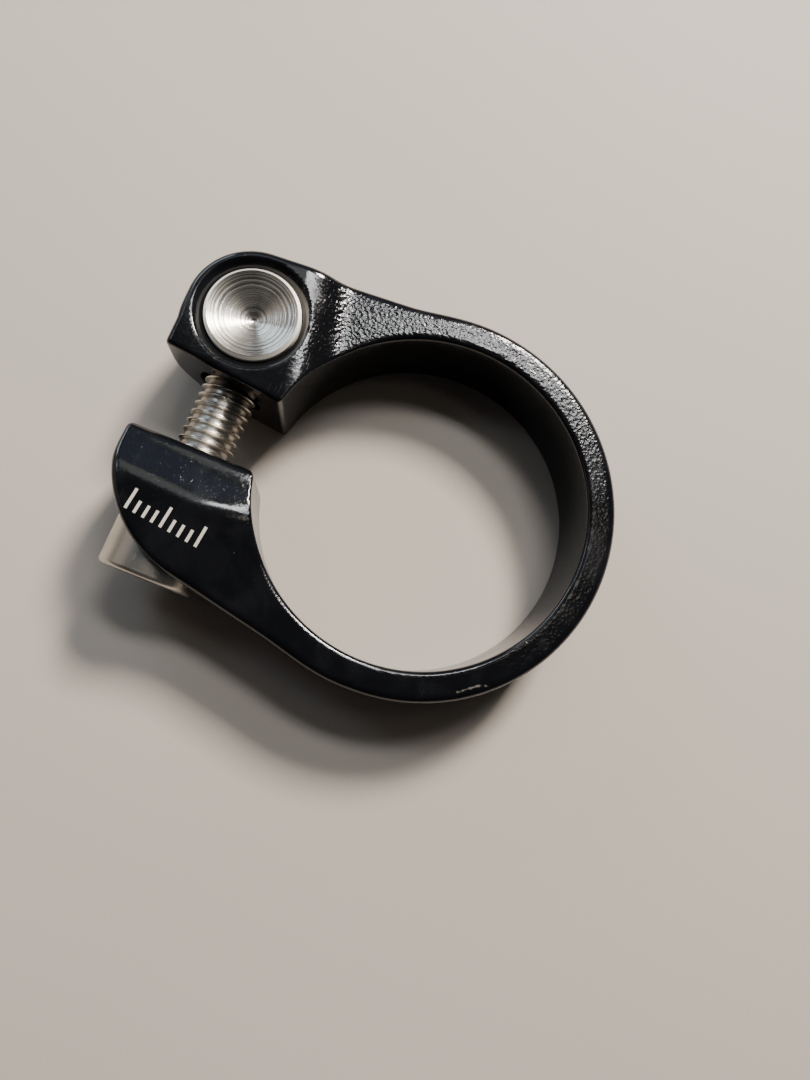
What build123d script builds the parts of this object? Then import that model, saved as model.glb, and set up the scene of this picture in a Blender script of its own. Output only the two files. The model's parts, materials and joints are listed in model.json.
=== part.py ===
"""Seatpost clamp: a one-piece split collar whose two ears are drawn together by a bolt in a barrel nut.

The origin lies on the bore axis at half the height of the ring. +Z runs up along the bore, the ears point
to -X, and the bolt lies along Y, with the barrel nut in the +Y ear and the bolt head at the -Y ear.
Millimetres.
"""
from build123d import *
import math
import os

# Ring
BORE_DIAMETER = 34.9      # closes on a seat tube of 34.9
RING_WALL = 3.15
RING_HEIGHT = 10.5
BORE_EDGE = 0.5           # rounding between the bore and the ring's two faces
RIM_EDGE = 0.6            # rounding between the outer wall and the ring's two faces

# Slot between the ears
SLOT_WIDTH = 7.8          # at the bolt axis
SLOT_TAPER = 6.0          # degrees by which the nut ear's face opens outward

# Both ears
EAR_RISE = 1.6            # height of the ears above the ring
BOLT_OFFSET = 2.9         # from the ring's outer wall out to the bolt axis

# Nut ear
NUT_WALL = 1.9            # wall of the round boss about the barrel nut
NUT_SETBACK = 2.0         # wall between the slot and the nut hole, on the bolt axis
NUT_FIT = 0.1             # radial clearance of the nut in its hole
COUNTERSINK = 0.95        # width of the cone at both ends of the nut hole
NUT_EAR_LAND = 6.2        # from the nut axis inward to the top of the ramp
NUT_RAMP_RUN = 2.8        # length of the ramp from the ear's top down to the ring
NUT_RAMP_HEADING = 12.0   # degrees from +X, the way that the ramp falls
NUT_FLANK_LANDING = 18.0  # degrees from the Y axis where the ear's flank meets the ring
NUT_EAR_END_ROUND = 8.5   # rounding under the outer end, beside the boss

# Head ear
HEAD_EAR_GRIP = 7.5       # from the slot to the seat of the bolt head
HEAD_CLEARANCE = 0.45     # radial clearance of the bolt head and washer in their pocket
HEAD_WALL = 1.85          # wall outboard of the pocket
HEAD_EAR_CURVE = 13.2     # radius of the ear's round outline
HEAD_EAR_LAND = 7.0       # from the bolt axis inward to the top of the ramp
HEAD_RAMP_RUN = 4.0       # length of the ramp from the ear's top down to the ring
HEAD_RAMP_HEADING = -30.0  # degrees from +X, the way that the ramp falls
HEAD_FLANK_LANDING = 16.0  # degrees from the Y axis where the ear's flank meets the ring
HEAD_EAR_END_ROUND = 3.0  # rounding under the outer end
FOLD_SETBACK = 5.1        # from the slot back to the fold in the ear's top, on the bolt axis
FOLD_SLOPE = 20.0         # degrees by which the top falls from the fold to the slot
FOLD_HEADING = -3.6       # degrees from +X, the way that the fold runs

# Bolt, washer and nut
THREAD_DIAMETER = 6.0
BOLT_LENGTH = 25.0        # under the head
HEAD_DIAMETER = 10.0
HEAD_HEIGHT = 6.0
HEAD_EDGE = 0.5
SOCKET_ACROSS_FLATS = 5.0
SOCKET_DEPTH = 3.0
TIP_CHAMFER = 0.7
BOLT_CLEARANCE = 0.5      # radial, in both ears
THREAD_FIT = 0.05         # radial, between the thread's crests and the nut
WASHER_DIAMETER = 10.0
WASHER_THICKNESS = 0.5
WASHER_CLEARANCE = 0.2    # radial, about the thread
WASHER_GAP = 0.12         # slack under the washer before the bolt is drawn up
NUT_DIAMETER = 10.0
NUT_RECESS = 0.2          # how far each nut end lies below the ear's face
NUT_EDGE = 0.35
NUT_DISH = 2.2            # depth of the cone turned into each nut end

# Places that follow from the sizes above
BORE_RADIUS = BORE_DIAMETER / 2
RIM_RADIUS = BORE_RADIUS + RING_WALL
EAR_HEIGHT = RING_HEIGHT + EAR_RISE
BOTTOM = -RING_HEIGHT / 2
RING_TOP = RING_HEIGHT / 2
EAR_TOP = BOTTOM + EAR_HEIGHT
BOLT_X = -(RIM_RADIUS + BOLT_OFFSET)
BOLT_Z = BOTTOM + EAR_HEIGHT / 2
SLOT_HALF = SLOT_WIDTH / 2
NUT_RADIUS = NUT_DIAMETER / 2
NUT_HOLE_RADIUS = NUT_RADIUS + NUT_FIT
BOSS_RADIUS = NUT_HOLE_RADIUS + NUT_WALL
NUT_Y = SLOT_HALF + NUT_SETBACK + NUT_HOLE_RADIUS
NUT_EAR_END = BOLT_X - BOSS_RADIUS
POCKET_RADIUS = max(HEAD_DIAMETER, WASHER_DIAMETER) / 2 + HEAD_CLEARANCE
HEAD_EAR_END = BOLT_X - POCKET_RADIUS - HEAD_WALL
SEAT_Y = -(SLOT_HALF + HEAD_EAR_GRIP)
WASHER_Y = SEAT_Y - WASHER_GAP
HEAD_Y = WASHER_Y - WASHER_THICKNESS
BOLT_HOLE_RADIUS = THREAD_DIAMETER / 2 + BOLT_CLEARANCE
INSIDE_X = -BORE_RADIUS / 2  # within the bore, where the ears' outlines end
BEYOND = 2 * RIM_RADIUS   # reach of the tools that cut right through an ear
MARGIN = RING_WALL / 3    # how far the other tools run past the face that they cut


def nut_face(x):
    """Y of the slot's face at the nut ear, which opens outward."""
    return SLOT_HALF + (BOLT_X - x) * math.tan(math.radians(SLOT_TAPER))


def rim_point(degrees, side):
    """Point of the outer wall, degrees from the Y axis towards the ears; side is +1 or -1 along Y."""
    turn = math.radians(degrees)
    return Vector(-RIM_RADIUS * math.sin(turn), side * RIM_RADIUS * math.cos(turn))


def tangent_point(start, centre, radius, side):
    """Point where the line from start touches the circle, on the left (+1) or right (-1) seen from centre."""
    reach = start - centre
    turn = math.atan2(reach.Y, reach.X) + side * math.acos(radius / reach.length)
    return centre + Vector(radius * math.cos(turn), radius * math.sin(turn))


def raised(outline, bottom, top):
    """Solid over a plan outline, from one height to another."""
    return extrude(Pos(0, 0, bottom) * outline, amount=top - bottom, dir=(0, 0, 1))


def along_y(points, start, end):
    """Solid with an outline in X and Z, from one Y to another."""
    outline = make_face(Polyline(*[(x, start, z) for x, z in points], close=True))
    return extrude(outline, amount=end - start, dir=(0, 1, 0))


def along_x(points, start, end):
    """Solid with an outline in Y and Z, from one X to another."""
    outline = make_face(Polyline(*[(start, y, z) for y, z in points], close=True))
    return extrude(outline, amount=end - start, dir=(1, 0, 0))


def y_cylinder(radius, start, end):
    """Cylinder about the bolt axis, from one Y to another."""
    return Pos(BOLT_X, start, BOLT_Z) * Rot(-90, 0, 0) * extrude(Circle(radius), amount=end - start)


def make_ring():
    """Plain ring with its four edges rounded."""
    section = Pos((BORE_RADIUS + RIM_RADIUS) / 2, 0) * Rectangle(RING_WALL, RING_HEIGHT)
    section = fillet(section.vertices().group_by(Axis.X)[0], BORE_EDGE)
    section = fillet(section.vertices().group_by(Axis.X)[-1], RIM_EDGE)
    return revolve(Plane.XZ * section, Axis.Z)


def end_rounding(end, radius, start, finish):
    """What the rounding under an ear's outer end takes away, between two values of Y."""
    outside, under = end - MARGIN, BOTTOM - MARGIN
    inside, above = end + radius, BOTTOM + radius
    corner = along_y([(outside, under), (inside, under), (inside, above), (outside, above)], start, finish)
    bar = extrude(Circle(radius), amount=finish - start)
    return corner - Pos(inside, start, above) * Rot(-90, 0, 0) * bar


def under_ramp(x, y, heading, run):
    """What lies under an ear's flat top and the ramp that falls from a point of it to the ring's top."""
    limit = along_y([(-BEYOND, RING_TOP), (run, RING_TOP), (0, EAR_TOP), (-BEYOND, EAR_TOP)], -BEYOND, BEYOND)
    return Pos(x, y, 0) * Rot(0, 0, heading) * limit


def make_nut_ear():
    """Ear at +Y: a round boss about the nut, a flank to the ring and a flat top with a ramp to the ring."""
    nut_axis = Vector(BOLT_X, NUT_Y)
    landing = rim_point(NUT_FLANK_LANDING, 1)
    touch = tangent_point(landing, nut_axis, BOSS_RADIUS, 1)
    boss_plan = Pos(nut_axis) * Circle(BOSS_RADIUS)
    plan = boss_plan + Polygon((NUT_EAR_END, nut_face(NUT_EAR_END)), (NUT_EAR_END, NUT_Y), nut_axis, touch,
                               landing, (INSIDE_X, nut_face(INSIDE_X)), align=None)

    ramp = under_ramp(BOLT_X + NUT_EAR_LAND, NUT_Y, NUT_RAMP_HEADING, NUT_RAMP_RUN)
    top = raised(plan, RING_TOP, EAR_TOP) & ramp
    under_end = end_rounding(NUT_EAR_END, NUT_EAR_END_ROUND, 0, NUT_Y) - raised(boss_plan, BOTTOM, EAR_TOP)
    return raised(plan, BOTTOM, RING_TOP) + top - under_end


def make_head_ear():
    """Ear at -Y: a round outline, a flat top with a ramp to the ring and a slope down to the slot."""
    curve_centre = Vector(HEAD_EAR_END + HEAD_EAR_CURVE, -SLOT_HALF)
    landing = rim_point(HEAD_FLANK_LANDING, -1)
    touch = tangent_point(landing, curve_centre, HEAD_EAR_CURVE, -1)
    lower_half = Pos(0, -BEYOND / 2) * Rectangle(2 * BEYOND, BEYOND)
    round_side = Pos(curve_centre) * (Circle(HEAD_EAR_CURVE) & lower_half)
    plan = round_side + Polygon(curve_centre, touch, landing, (INSIDE_X, -SLOT_HALF), align=None)

    fold_y = -(SLOT_HALF + FOLD_SETBACK)
    past_slot = -fold_y
    fall = past_slot * math.tan(math.radians(FOLD_SLOPE))
    slope = along_x([(0, EAR_TOP), (past_slot, EAR_TOP), (past_slot, EAR_TOP - fall)], -BEYOND, BEYOND)
    slope = Pos(BOLT_X, fold_y, 0) * Rot(0, 0, FOLD_HEADING) * slope
    ramp = under_ramp(BOLT_X + HEAD_EAR_LAND, fold_y, HEAD_RAMP_HEADING, HEAD_RAMP_RUN)
    top = (raised(plan, RING_TOP, EAR_TOP) & ramp) - slope
    under_end = end_rounding(HEAD_EAR_END, HEAD_EAR_END_ROUND, -BEYOND, 0)
    return raised(plan, BOTTOM, RING_TOP) + top - under_end


def make_slot():
    """Tool that opens the ring between the two ears."""
    plan = Polygon((BOLT_X, -SLOT_HALF), (INSIDE_X, -SLOT_HALF), (INSIDE_X, nut_face(INSIDE_X)),
                   (BOLT_X, nut_face(BOLT_X)), align=None)
    return raised(plan, BOTTOM - MARGIN, EAR_TOP + MARGIN)


def make_nut_hole():
    """Tool for the nut hole, with a cone at both ends."""
    rim = NUT_HOLE_RADIUS + COUNTERSINK
    hole = Pos(0, 0, BOLT_Z) * Cylinder(NUT_HOLE_RADIUS, EAR_HEIGHT + 2 * MARGIN)
    upper = Pos(0, 0, EAR_TOP - COUNTERSINK / 2) * Cone(NUT_HOLE_RADIUS, rim, COUNTERSINK)
    lower = Pos(0, 0, BOTTOM + COUNTERSINK / 2) * Cone(rim, NUT_HOLE_RADIUS, COUNTERSINK)
    return Pos(BOLT_X, NUT_Y, 0) * (hole + upper + lower)


def make_collar():
    """The split ring and its two ears, one forging."""
    bore = Cylinder(BORE_RADIUS, 2 * BEYOND)
    bolt_hole = y_cylinder(BOLT_HOLE_RADIUS, SEAT_Y - MARGIN, NUT_Y)
    pocket = y_cylinder(POCKET_RADIUS, SEAT_Y - BEYOND, SEAT_Y)
    nut_ear = make_nut_ear() - bore - make_nut_hole() - bolt_hole
    head_ear = make_head_ear() - bore - pocket - bolt_hole
    return make_ring() - make_slot() + nut_ear + head_ear


def make_barrel_nut():
    """Barrel nut: an upright pin with a cone turned into each end, tapped across for the bolt."""
    half = EAR_HEIGHT / 2 - NUT_RECESS
    face = NUT_RADIUS - NUT_EDGE
    profile = Polyline((0, -half + NUT_DISH), (face, -half), (NUT_RADIUS, -half + NUT_EDGE),
                       (NUT_RADIUS, half - NUT_EDGE), (face, half), (0, half - NUT_DISH), close=True)
    pin = revolve(Plane.XZ * make_face(profile), Axis.Z)
    tapped_hole = y_cylinder(THREAD_DIAMETER / 2 + THREAD_FIT, 0, NUT_Y + BEYOND)
    return Pos(BOLT_X, NUT_Y, BOLT_Z) * pin - tapped_hole


def make_washer():
    """Flat washer under the bolt head."""
    disc = y_cylinder(WASHER_DIAMETER / 2, HEAD_Y, WASHER_Y)
    return disc - y_cylinder(THREAD_DIAMETER / 2 + WASHER_CLEARANCE, HEAD_Y, WASHER_Y)


def make_clamp_bolt():
    """Socket head bolt; its thread is drawn at the diameter of the crests."""
    shank, head = THREAD_DIAMETER / 2, HEAD_DIAMETER / 2
    profile = Polyline((0, -HEAD_HEIGHT), (head - HEAD_EDGE, -HEAD_HEIGHT), (head, -HEAD_HEIGHT + HEAD_EDGE),
                       (head, 0), (shank, 0), (shank, BOLT_LENGTH - TIP_CHAMFER),
                       (shank - TIP_CHAMFER, BOLT_LENGTH), (0, BOLT_LENGTH), close=True)
    bolt = revolve(make_face(profile), Axis.Y)
    hexagon = RegularPolygon(SOCKET_ACROSS_FLATS / 2, 6, major_radius=False)
    key_space = extrude(hexagon, amount=2 * SOCKET_DEPTH)
    socket = Pos(0, -HEAD_HEIGHT + SOCKET_DEPTH, 0) * Rot(90, 0, 0) * key_space
    return Pos(BOLT_X, HEAD_Y, BOLT_Z) * (bolt - socket)


os.makedirs("parts", exist_ok=True)
export_step(make_collar(), "parts/collar.step")
export_step(make_barrel_nut(), "parts/barrel_nut.step")
export_step(make_washer(), "parts/washer.step")
export_step(make_clamp_bolt(), "parts/clamp_bolt.step")
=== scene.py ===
"""Seatpost clamp: painted split collar, turned barrel nut, washer and threaded bolt, on a plain stage.

Lengths are metres, in the part's own frame: +Z up along the bore, the ears towards -X, the bolt along Y.
"""
import json
import math
from itertools import product

import bpy
import numpy as np
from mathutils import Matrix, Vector


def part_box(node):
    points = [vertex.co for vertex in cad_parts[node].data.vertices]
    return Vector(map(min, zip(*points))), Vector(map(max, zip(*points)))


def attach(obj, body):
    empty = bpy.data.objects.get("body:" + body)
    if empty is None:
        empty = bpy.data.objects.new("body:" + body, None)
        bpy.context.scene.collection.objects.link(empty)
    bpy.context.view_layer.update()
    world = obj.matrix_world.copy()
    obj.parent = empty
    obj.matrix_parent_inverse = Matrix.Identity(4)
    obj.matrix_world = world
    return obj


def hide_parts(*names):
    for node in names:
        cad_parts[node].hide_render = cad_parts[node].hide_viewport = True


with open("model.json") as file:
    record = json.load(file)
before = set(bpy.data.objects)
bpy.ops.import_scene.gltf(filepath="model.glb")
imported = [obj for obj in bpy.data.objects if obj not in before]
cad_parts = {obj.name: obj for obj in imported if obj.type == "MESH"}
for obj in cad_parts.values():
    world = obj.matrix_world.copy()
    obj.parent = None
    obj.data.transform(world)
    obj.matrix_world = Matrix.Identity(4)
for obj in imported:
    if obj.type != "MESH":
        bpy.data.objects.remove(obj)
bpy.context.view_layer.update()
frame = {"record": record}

bl_info = {
    "name": "Seatpost clamp",
    "version": (1, 0, 0),
    "blender": (4, 5, 0),
    "location": "3D View > Sidebar > Clamp",
    "description": "Builds a seatpost clamp with its bolt, washer and barrel nut, on a plain stage",
    "category": "Add Mesh",
}

MM = 0.001
MM_PER_METRE = 1000.0

# Places and sizes that the frame gives
COLLAR_LOW, COLLAR_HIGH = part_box("collar")
NUT_LOW, NUT_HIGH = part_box("barrel_nut")
WASHER_LOW, WASHER_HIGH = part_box("washer")
BOLT_LOW, BOLT_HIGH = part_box("clamp_bolt")
BORE_MOUNT = next(m for m in frame["record"]["mounts"] if m["name"] == "seat_tube_bore")

BORE_RADIUS = BORE_MOUNT["dims"]["r_mm"] * MM
RIM_RADIUS = COLLAR_HIGH[0]
BOTTOM = COLLAR_LOW[2]
RING_TOP = -BOTTOM
EAR_TOP = COLLAR_HIGH[2]
EAR_RISE = EAR_TOP - RING_TOP
HEAD_EAR_END = COLLAR_LOW[0]
BOLT_X = (BOLT_LOW[0] + BOLT_HIGH[0]) / 2
BOLT_Z = (BOLT_LOW[2] + BOLT_HIGH[2]) / 2
HEAD_RADIUS = (BOLT_HIGH[0] - BOLT_LOW[0]) / 2
HEAD_END_Y = BOLT_LOW[1]
TIP_Y = BOLT_HIGH[1]
UNDER_HEAD_Y = WASHER_LOW[1]
WASHER_RADIUS = (WASHER_HIGH[0] - WASHER_LOW[0]) / 2
NUT_X = (NUT_LOW[0] + NUT_HIGH[0]) / 2
NUT_Y = (NUT_LOW[1] + NUT_HIGH[1]) / 2
NUT_Z = (NUT_LOW[2] + NUT_HIGH[2]) / 2
NUT_RADIUS = (NUT_HIGH[0] - NUT_LOW[0]) / 2
NUT_HALF = (NUT_HIGH[2] - NUT_LOW[2]) / 2


def length(name, description, millimetres):
    """Property for a length."""
    return bpy.props.FloatProperty(name=name, description=description, default=millimetres * MM,
                                   min=0.0, unit="LENGTH", precision=5)


def turn(name, description, degrees):
    """Property for an angle."""
    return bpy.props.FloatProperty(name=name, description=description, default=math.radians(degrees),
                                   subtype="ANGLE")


def colour(name, description, value):
    """Property for a colour."""
    return bpy.props.FloatVectorProperty(name=name, description=description, default=(*value, 1.0),
                                         size=4, min=0.0, max=1.0, subtype="COLOR")


def number(name, description, value):
    """Property for a plain number."""
    return bpy.props.FloatProperty(name=name, description=description, default=value, min=0.0)


class CollarSettings(bpy.types.PropertyGroup):
    """Shape of the collar."""
    slot_width: length("Slot width", "Gap between the ears on the bolt axis", 7.8)
    slot_taper: turn("Slot taper", "How far the nut ear's face opens outward", 6.0)
    nut_wall: length("Nut wall", "Wall of the round boss about the nut hole", 1.9)
    nut_fit: length("Nut fit", "Radial clearance of the nut in its hole", 0.1)
    countersink: length("Countersink", "Width of the cone at both ends of the nut hole", 0.95)
    nut_land: length("Nut ear land", "From the nut axis inward to the top of the ramp", 6.2)
    nut_ramp_run: length("Nut ear ramp run", "Length of the nut ear's ramp down to the ring", 2.8)
    nut_ramp_heading: turn("Nut ramp heading", "Way that the nut ear's ramp falls, from +X", 12.0)
    nut_landing: turn("Nut ear landing", "Where the nut ear's flank meets the ring, from Y", 18.0)
    nut_end_round: length("Nut ear end", "Rounding under the nut ear's outer end", 8.5)
    head_curve: length("Head ear curve", "Radius of the head ear's outline", 13.2)
    head_land: length("Head ear land", "From the bolt axis inward to the top of the ramp", 7.0)
    head_ramp_run: length("Head ear ramp run", "Length of the head ear's ramp down to the ring", 4.0)
    head_ramp_heading: turn("Head ramp heading", "Way that the head ear's ramp falls, from +X", -30.0)
    head_landing: turn("Head ear landing", "Where the head ear's flank meets the ring, from Y", 16.0)
    head_end_round: length("Head ear end", "Rounding under the head ear's outer end", 3.0)
    fold_setback: length("Fold setback", "From the slot back to the fold in the head ear", 5.1)
    fold_slope: turn("Fold slope", "Fall of the head ear's top from the fold to the slot", 20.0)
    fold_heading: turn("Fold heading", "Way that the fold runs, from +X", -3.6)
    bolt_clearance: length("Bolt clearance", "Radial clearance of the thread in both ears", 0.5)
    head_clearance: length("Head clearance", "Radial clearance of the bolt head in its pocket", 0.45)
    washer_gap: length("Washer gap", "Slack between the washer and its seat", 0.12)
    rim_edge: length("Rim edge", "Rounding of the outer edges", 0.8)
    bore_edge: length("Bore edge", "Rounding of the bore's edges", 0.5)
    ear_bore_edge: length("Ear bore edge", "Rounding of the bore's edges at the ears", 0.2)
    nut_slot_edge: length("Nut ear slot edge", "Rounding of the nut ear's edges at the slot", 0.45)
    head_slot_edge: length("Head ear slot edge", "Rounding of the head ear's edges at the slot", 0.8)
    hole_edge: length("Hole edge", "Rounding of the holes' edges", 0.1)
    nut_ridge: length("Nut ear ridge", "Softness of the nut ear's ramp at its upper ridge", 0.8)
    head_ridge: length("Head ear ridge", "Softness of the head ear's ramp at its upper ridge", 1.5)
    ramp_foot: length("Ramp foot", "Softness of the ramps' foot", 0.7)
    fold_blend: length("Fold blend", "Softness of the fold in the head ear", 0.4)
    outline_blend: length("Outline blend", "Softness where the ears' flanks run into the ring", 0.8)
    cell: length("Cell", "Size of the mesh's faces", 0.25)


class NutSettings(bpy.types.PropertyGroup):
    """Shape of the barrel nut."""
    edge: length("Edge", "Chamfer at both ends", 0.35)
    cone_depth: length("Cone depth", "Depth of the cone turned into each end", 2.2)
    ring_pitch: length("Ring pitch", "Distance between the tool's rings in the cone", 0.34)
    ring_depth: length("Ring depth", "Height of the tool's rings in the cone", 0.012)
    thread_radius: length("Thread radius", "Radius of the tapped hole", 3.05)


class BoltSettings(bpy.types.PropertyGroup):
    """Shape of the bolt and its washer."""
    thread_radius: length("Thread radius", "Radius over the thread's crests", 3.0)
    root_radius: length("Root radius", "Radius at the thread's roots", 2.5)
    pitch: length("Pitch", "Lead of the thread", 1.0)
    tip_chamfer: length("Tip chamfer", "Chamfer at the thread's end", 0.7)
    head_edge: length("Head edge", "Rounding at the end of the head", 0.5)
    socket_flats: length("Socket flats", "Hexagon socket across its flats", 5.0)
    socket_depth: length("Socket depth", "Depth of the hexagon socket", 3.0)
    washer_hole: length("Washer hole", "Radius of the washer's hole", 3.2)
    washer_edge: length("Washer edge", "Rounding of the washer's edges", 0.08)


class FinishSettings(bpy.types.PropertyGroup):
    """Colours of the finishes."""
    paint: colour("Paint", "Gloss paint of the collar", (0.0032, 0.0034, 0.0042))
    bare_metal: colour("Bare metal", "Metal that shows in the scuffs", (0.50, 0.46, 0.40))
    mark: colour("Mark", "Etched index marks", (0.60, 0.55, 0.46))
    steel: colour("Steel", "Bright steel", (0.66, 0.62, 0.55))
    dust: colour("Dust", "Dust specks", (0.42, 0.40, 0.37))
    # Painted shade: dark colour laid into the bolt thread's roots
    root_shade: colour("Grime", "Oil and dirt in the thread", (0.10, 0.085, 0.07))


class StageSettings(bpy.types.PropertyGroup):
    """Floor, light and camera."""
    floor: colour("Floor", "Plain floor", (0.50, 0.44, 0.38))
    key: number("Key", "Power of the key light, watts", 4.2)
    top: number("Top", "Power of the high soft light, watts", 0.65)
    fill: number("Fill", "Power of the cool fill light, watts", 0.5)
    side: number("Side", "Power of the warm light beside the ears, watts", 0.09)
    panel: number("Panel", "Power of the dim panel over the fold, watts", 0.035)
    dusk: number("Dusk", "Power of the dim blue panel behind, watts", 0.03)
    lamp: number("Lamp", "Power of the small warm light overhead, watts", 0.03)
    window: number("Window", "Power of the small blue light over the bolt, watts", 0.1)
    lens: number("Lens", "Focal length of the camera, millimetres", 26.0)


# Signed distance shapes: below zero inside, above zero outside

def rounded_both(a, b, radius):
    """What lies in both shapes, with the edge between them rounded."""
    past = np.hypot(np.maximum(a + radius, 0.0), np.maximum(b + radius, 0.0))
    return np.minimum(np.maximum(a, b), -radius) + past


def soft_both(a, b, reach):
    """What lies in both shapes, faired where their surfaces meet at a flat angle."""
    near = np.maximum(reach - np.abs(a - b), 0.0)
    return np.maximum(a, b) + near * near / (4 * reach)


def soft_either(a, b, reach):
    """What lies in either shape, faired where their surfaces meet at a flat angle."""
    return -soft_both(-a, -b, reach)


LANDING_FADE = 0.15             # how slowly an ear's outline ends past its landing, to run into the ring
EAR_BORE_REACH = (-0.85, -0.6)  # where the bore's edge goes from the ears' to the ring's, in bore radii

# Scuff on the ring's top, in millimetres, and the radius and depth of the dents at its points
SCUFF = ((10.2, -16.9, 5.25), (12.3, -15.3, 5.25), (13.3, -15.2, 5.25))
DENT_RADIUS = 0.4
DENT_DEPTH = 0.05


def ear_outline(x, y, end, centre, radius, landing, side, blend):
    """Plan of an ear: its outer end and its flank, rounded together; side is +1 or -1 along Y."""
    foot = np.array((-math.sin(landing), side * math.cos(landing))) * RIM_RADIUS
    reach = foot - centre
    heading = math.atan2(reach[1], reach[0]) + side * math.acos(radius / np.hypot(*reach))
    out_x, out_y = math.cos(heading), math.sin(heading)
    across, along = x - centre[0], y - centre[1]
    flank = out_x * across + out_y * along - radius
    on_round = (side * along > 0) & (side * (out_y * across - out_x * along) < 0)
    outline = np.where(on_round, np.hypot(across, along) - radius, np.maximum(end - x, flank))
    past_landing = side * (out_y * x - out_x * y)
    return soft_both(outline, LANDING_FADE * past_landing, blend)


def ramp_plane(x, y, below_top, heading, run):
    """Ramp that leaves an ear's top at a point and falls to the ring's top over a run."""
    past_ridge = x * math.cos(heading) + y * math.sin(heading)
    return (past_ridge * EAR_RISE + below_top * run) / math.hypot(EAR_RISE, run)


def collar_cuts(x, y, z, s):
    """What each cutter leaves standing, with its edges' rounding: bore, slot, holes and head pocket."""
    slot_half = s.slot_width / 2
    nut_face = (slot_half - y) * math.cos(s.slot_taper) + (BOLT_X - x) * math.sin(s.slot_taper)
    slot = np.where(x < 0, np.where(y > 0, nut_face, y + slot_half), -RIM_RADIUS)

    hole_radius = NUT_RADIUS + s.nut_fit
    from_hole = np.hypot(x - NUT_X, y - NUT_Y) - hole_radius
    upper_cone = (from_hole - (z - EAR_TOP + s.countersink)) * math.sqrt(0.5)
    lower_cone = (from_hole - (BOTTOM + s.countersink - z)) * math.sqrt(0.5)
    nut_hole = -np.minimum(from_hole, np.minimum(upper_cone, lower_cone))

    thread_radius = bpy.context.scene.clamp_bolt.thread_radius
    from_bolt = np.hypot(x - BOLT_X, z - BOLT_Z)
    bolt_hole = -np.maximum(from_bolt - thread_radius - s.bolt_clearance, y - NUT_Y)
    seat_y = WASHER_HIGH[1] + s.washer_gap
    pocket = -np.maximum(from_bolt - HEAD_RADIUS - s.head_clearance, y - seat_y)
    slot_edge = np.where(y > 0, s.nut_slot_edge, s.head_slot_edge)
    bore_edge = np.interp(x / BORE_RADIUS, EAR_BORE_REACH, (s.ear_bore_edge, s.bore_edge))
    return [(BORE_RADIUS - np.hypot(x, y), bore_edge), (slot, slot_edge), (nut_hole, s.hole_edge),
            (bolt_hole, s.hole_edge), (pocket, s.hole_edge)]


def collar_shape(x, y, z, s):
    """Signed distance to the collar: ring and ears, less the cuts and the dents."""
    boss = NUT_RADIUS + s.nut_fit + s.nut_wall
    nut_end = NUT_X - boss
    slot_half = s.slot_width / 2
    nut_outline = ear_outline(x, y, nut_end, np.array((NUT_X, NUT_Y)), boss, s.nut_landing, 1,
                              s.outline_blend)
    curve_centre = np.array((HEAD_EAR_END + s.head_curve, -slot_half))
    head_outline = ear_outline(x, y, HEAD_EAR_END, curve_centre, s.head_curve, s.head_landing, -1,
                               s.outline_blend)
    outline = soft_either(np.hypot(x, y) - RIM_RADIUS, np.where(y > 0, nut_outline, head_outline),
                          s.outline_blend)

    # Tops of the ears, with their ramps down to the ring
    below_top = z - EAR_TOP
    fold_y = -(slot_half + s.fold_setback)
    past_fold = (y - fold_y) * math.cos(s.fold_heading) - (x - BOLT_X) * math.sin(s.fold_heading)
    fold = below_top * math.cos(s.fold_slope) + past_fold * math.sin(s.fold_slope)
    nut_ramp = ramp_plane(x - NUT_X - s.nut_land, y - NUT_Y, below_top, s.nut_ramp_heading,
                          s.nut_ramp_run)
    nut_top = soft_both(below_top, nut_ramp, s.nut_ridge)
    head_ramp = ramp_plane(x - BOLT_X - s.head_land, y - fold_y, below_top, s.head_ramp_heading,
                           s.head_ramp_run)
    head_top = soft_both(soft_both(below_top, fold, s.fold_blend), head_ramp, s.head_ridge)
    top = soft_either(z - RING_TOP, np.where(y > 0, nut_top, head_top), s.ramp_foot)
    body = rounded_both(outline, top, s.rim_edge)

    # Underside, rounded up at the ears' outer ends; the boss stands through at full height
    below = BOTTOM - z
    beside_boss = np.hypot(x - NUT_X, y - NUT_Y) - boss - s.rim_edge
    beside = np.minimum(rounded_both(nut_end - x, below, s.nut_end_round), beside_boss)
    nut_under = np.maximum(beside, below)
    head_under = rounded_both(HEAD_EAR_END - x, below, s.head_end_round)
    body = rounded_both(body, np.where(y > 0, nut_under, head_under), s.rim_edge)

    for left_standing, edge in collar_cuts(x, y, z, s):
        body = rounded_both(body, left_standing, edge)
    for dent_x, dent_y, dent_z in SCUFF:
        off = (x / MM - dent_x) ** 2 + (y / MM - dent_y) ** 2 + (z / MM - dent_z) ** 2
        body = body + DENT_DEPTH * MM * np.exp(-off / (2 * DENT_RADIUS ** 2))
    return body


# Skinning of a signed distance shape
PROBES_PER_CELL = 20    # slopes are measured over this part of a cell
SETTLE_ROUNDS = 5
RELAX_ROUNDS = 3
LEAST_STEEPNESS = 0.05  # keeps a point from leaping where a shape is nearly level


def slope_of(shape, points, step):
    """Gradient of a shape at points."""
    parts = []
    for axis in np.eye(3) * step:
        parts.append((shape(*(points + axis).T) - shape(*(points - axis).T)) / (2 * step))
    return np.stack(parts, axis=1)


def settle(shape, points, step):
    """Moves points straight onto the surface of a shape."""
    for _ in range(SETTLE_ROUNDS):
        slope = slope_of(shape, points, step)
        steep = np.maximum((slope * slope).sum(axis=1), LEAST_STEEPNESS)
        points = points - slope * (shape(*points.T) / steep)[:, None]
    return points


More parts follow.
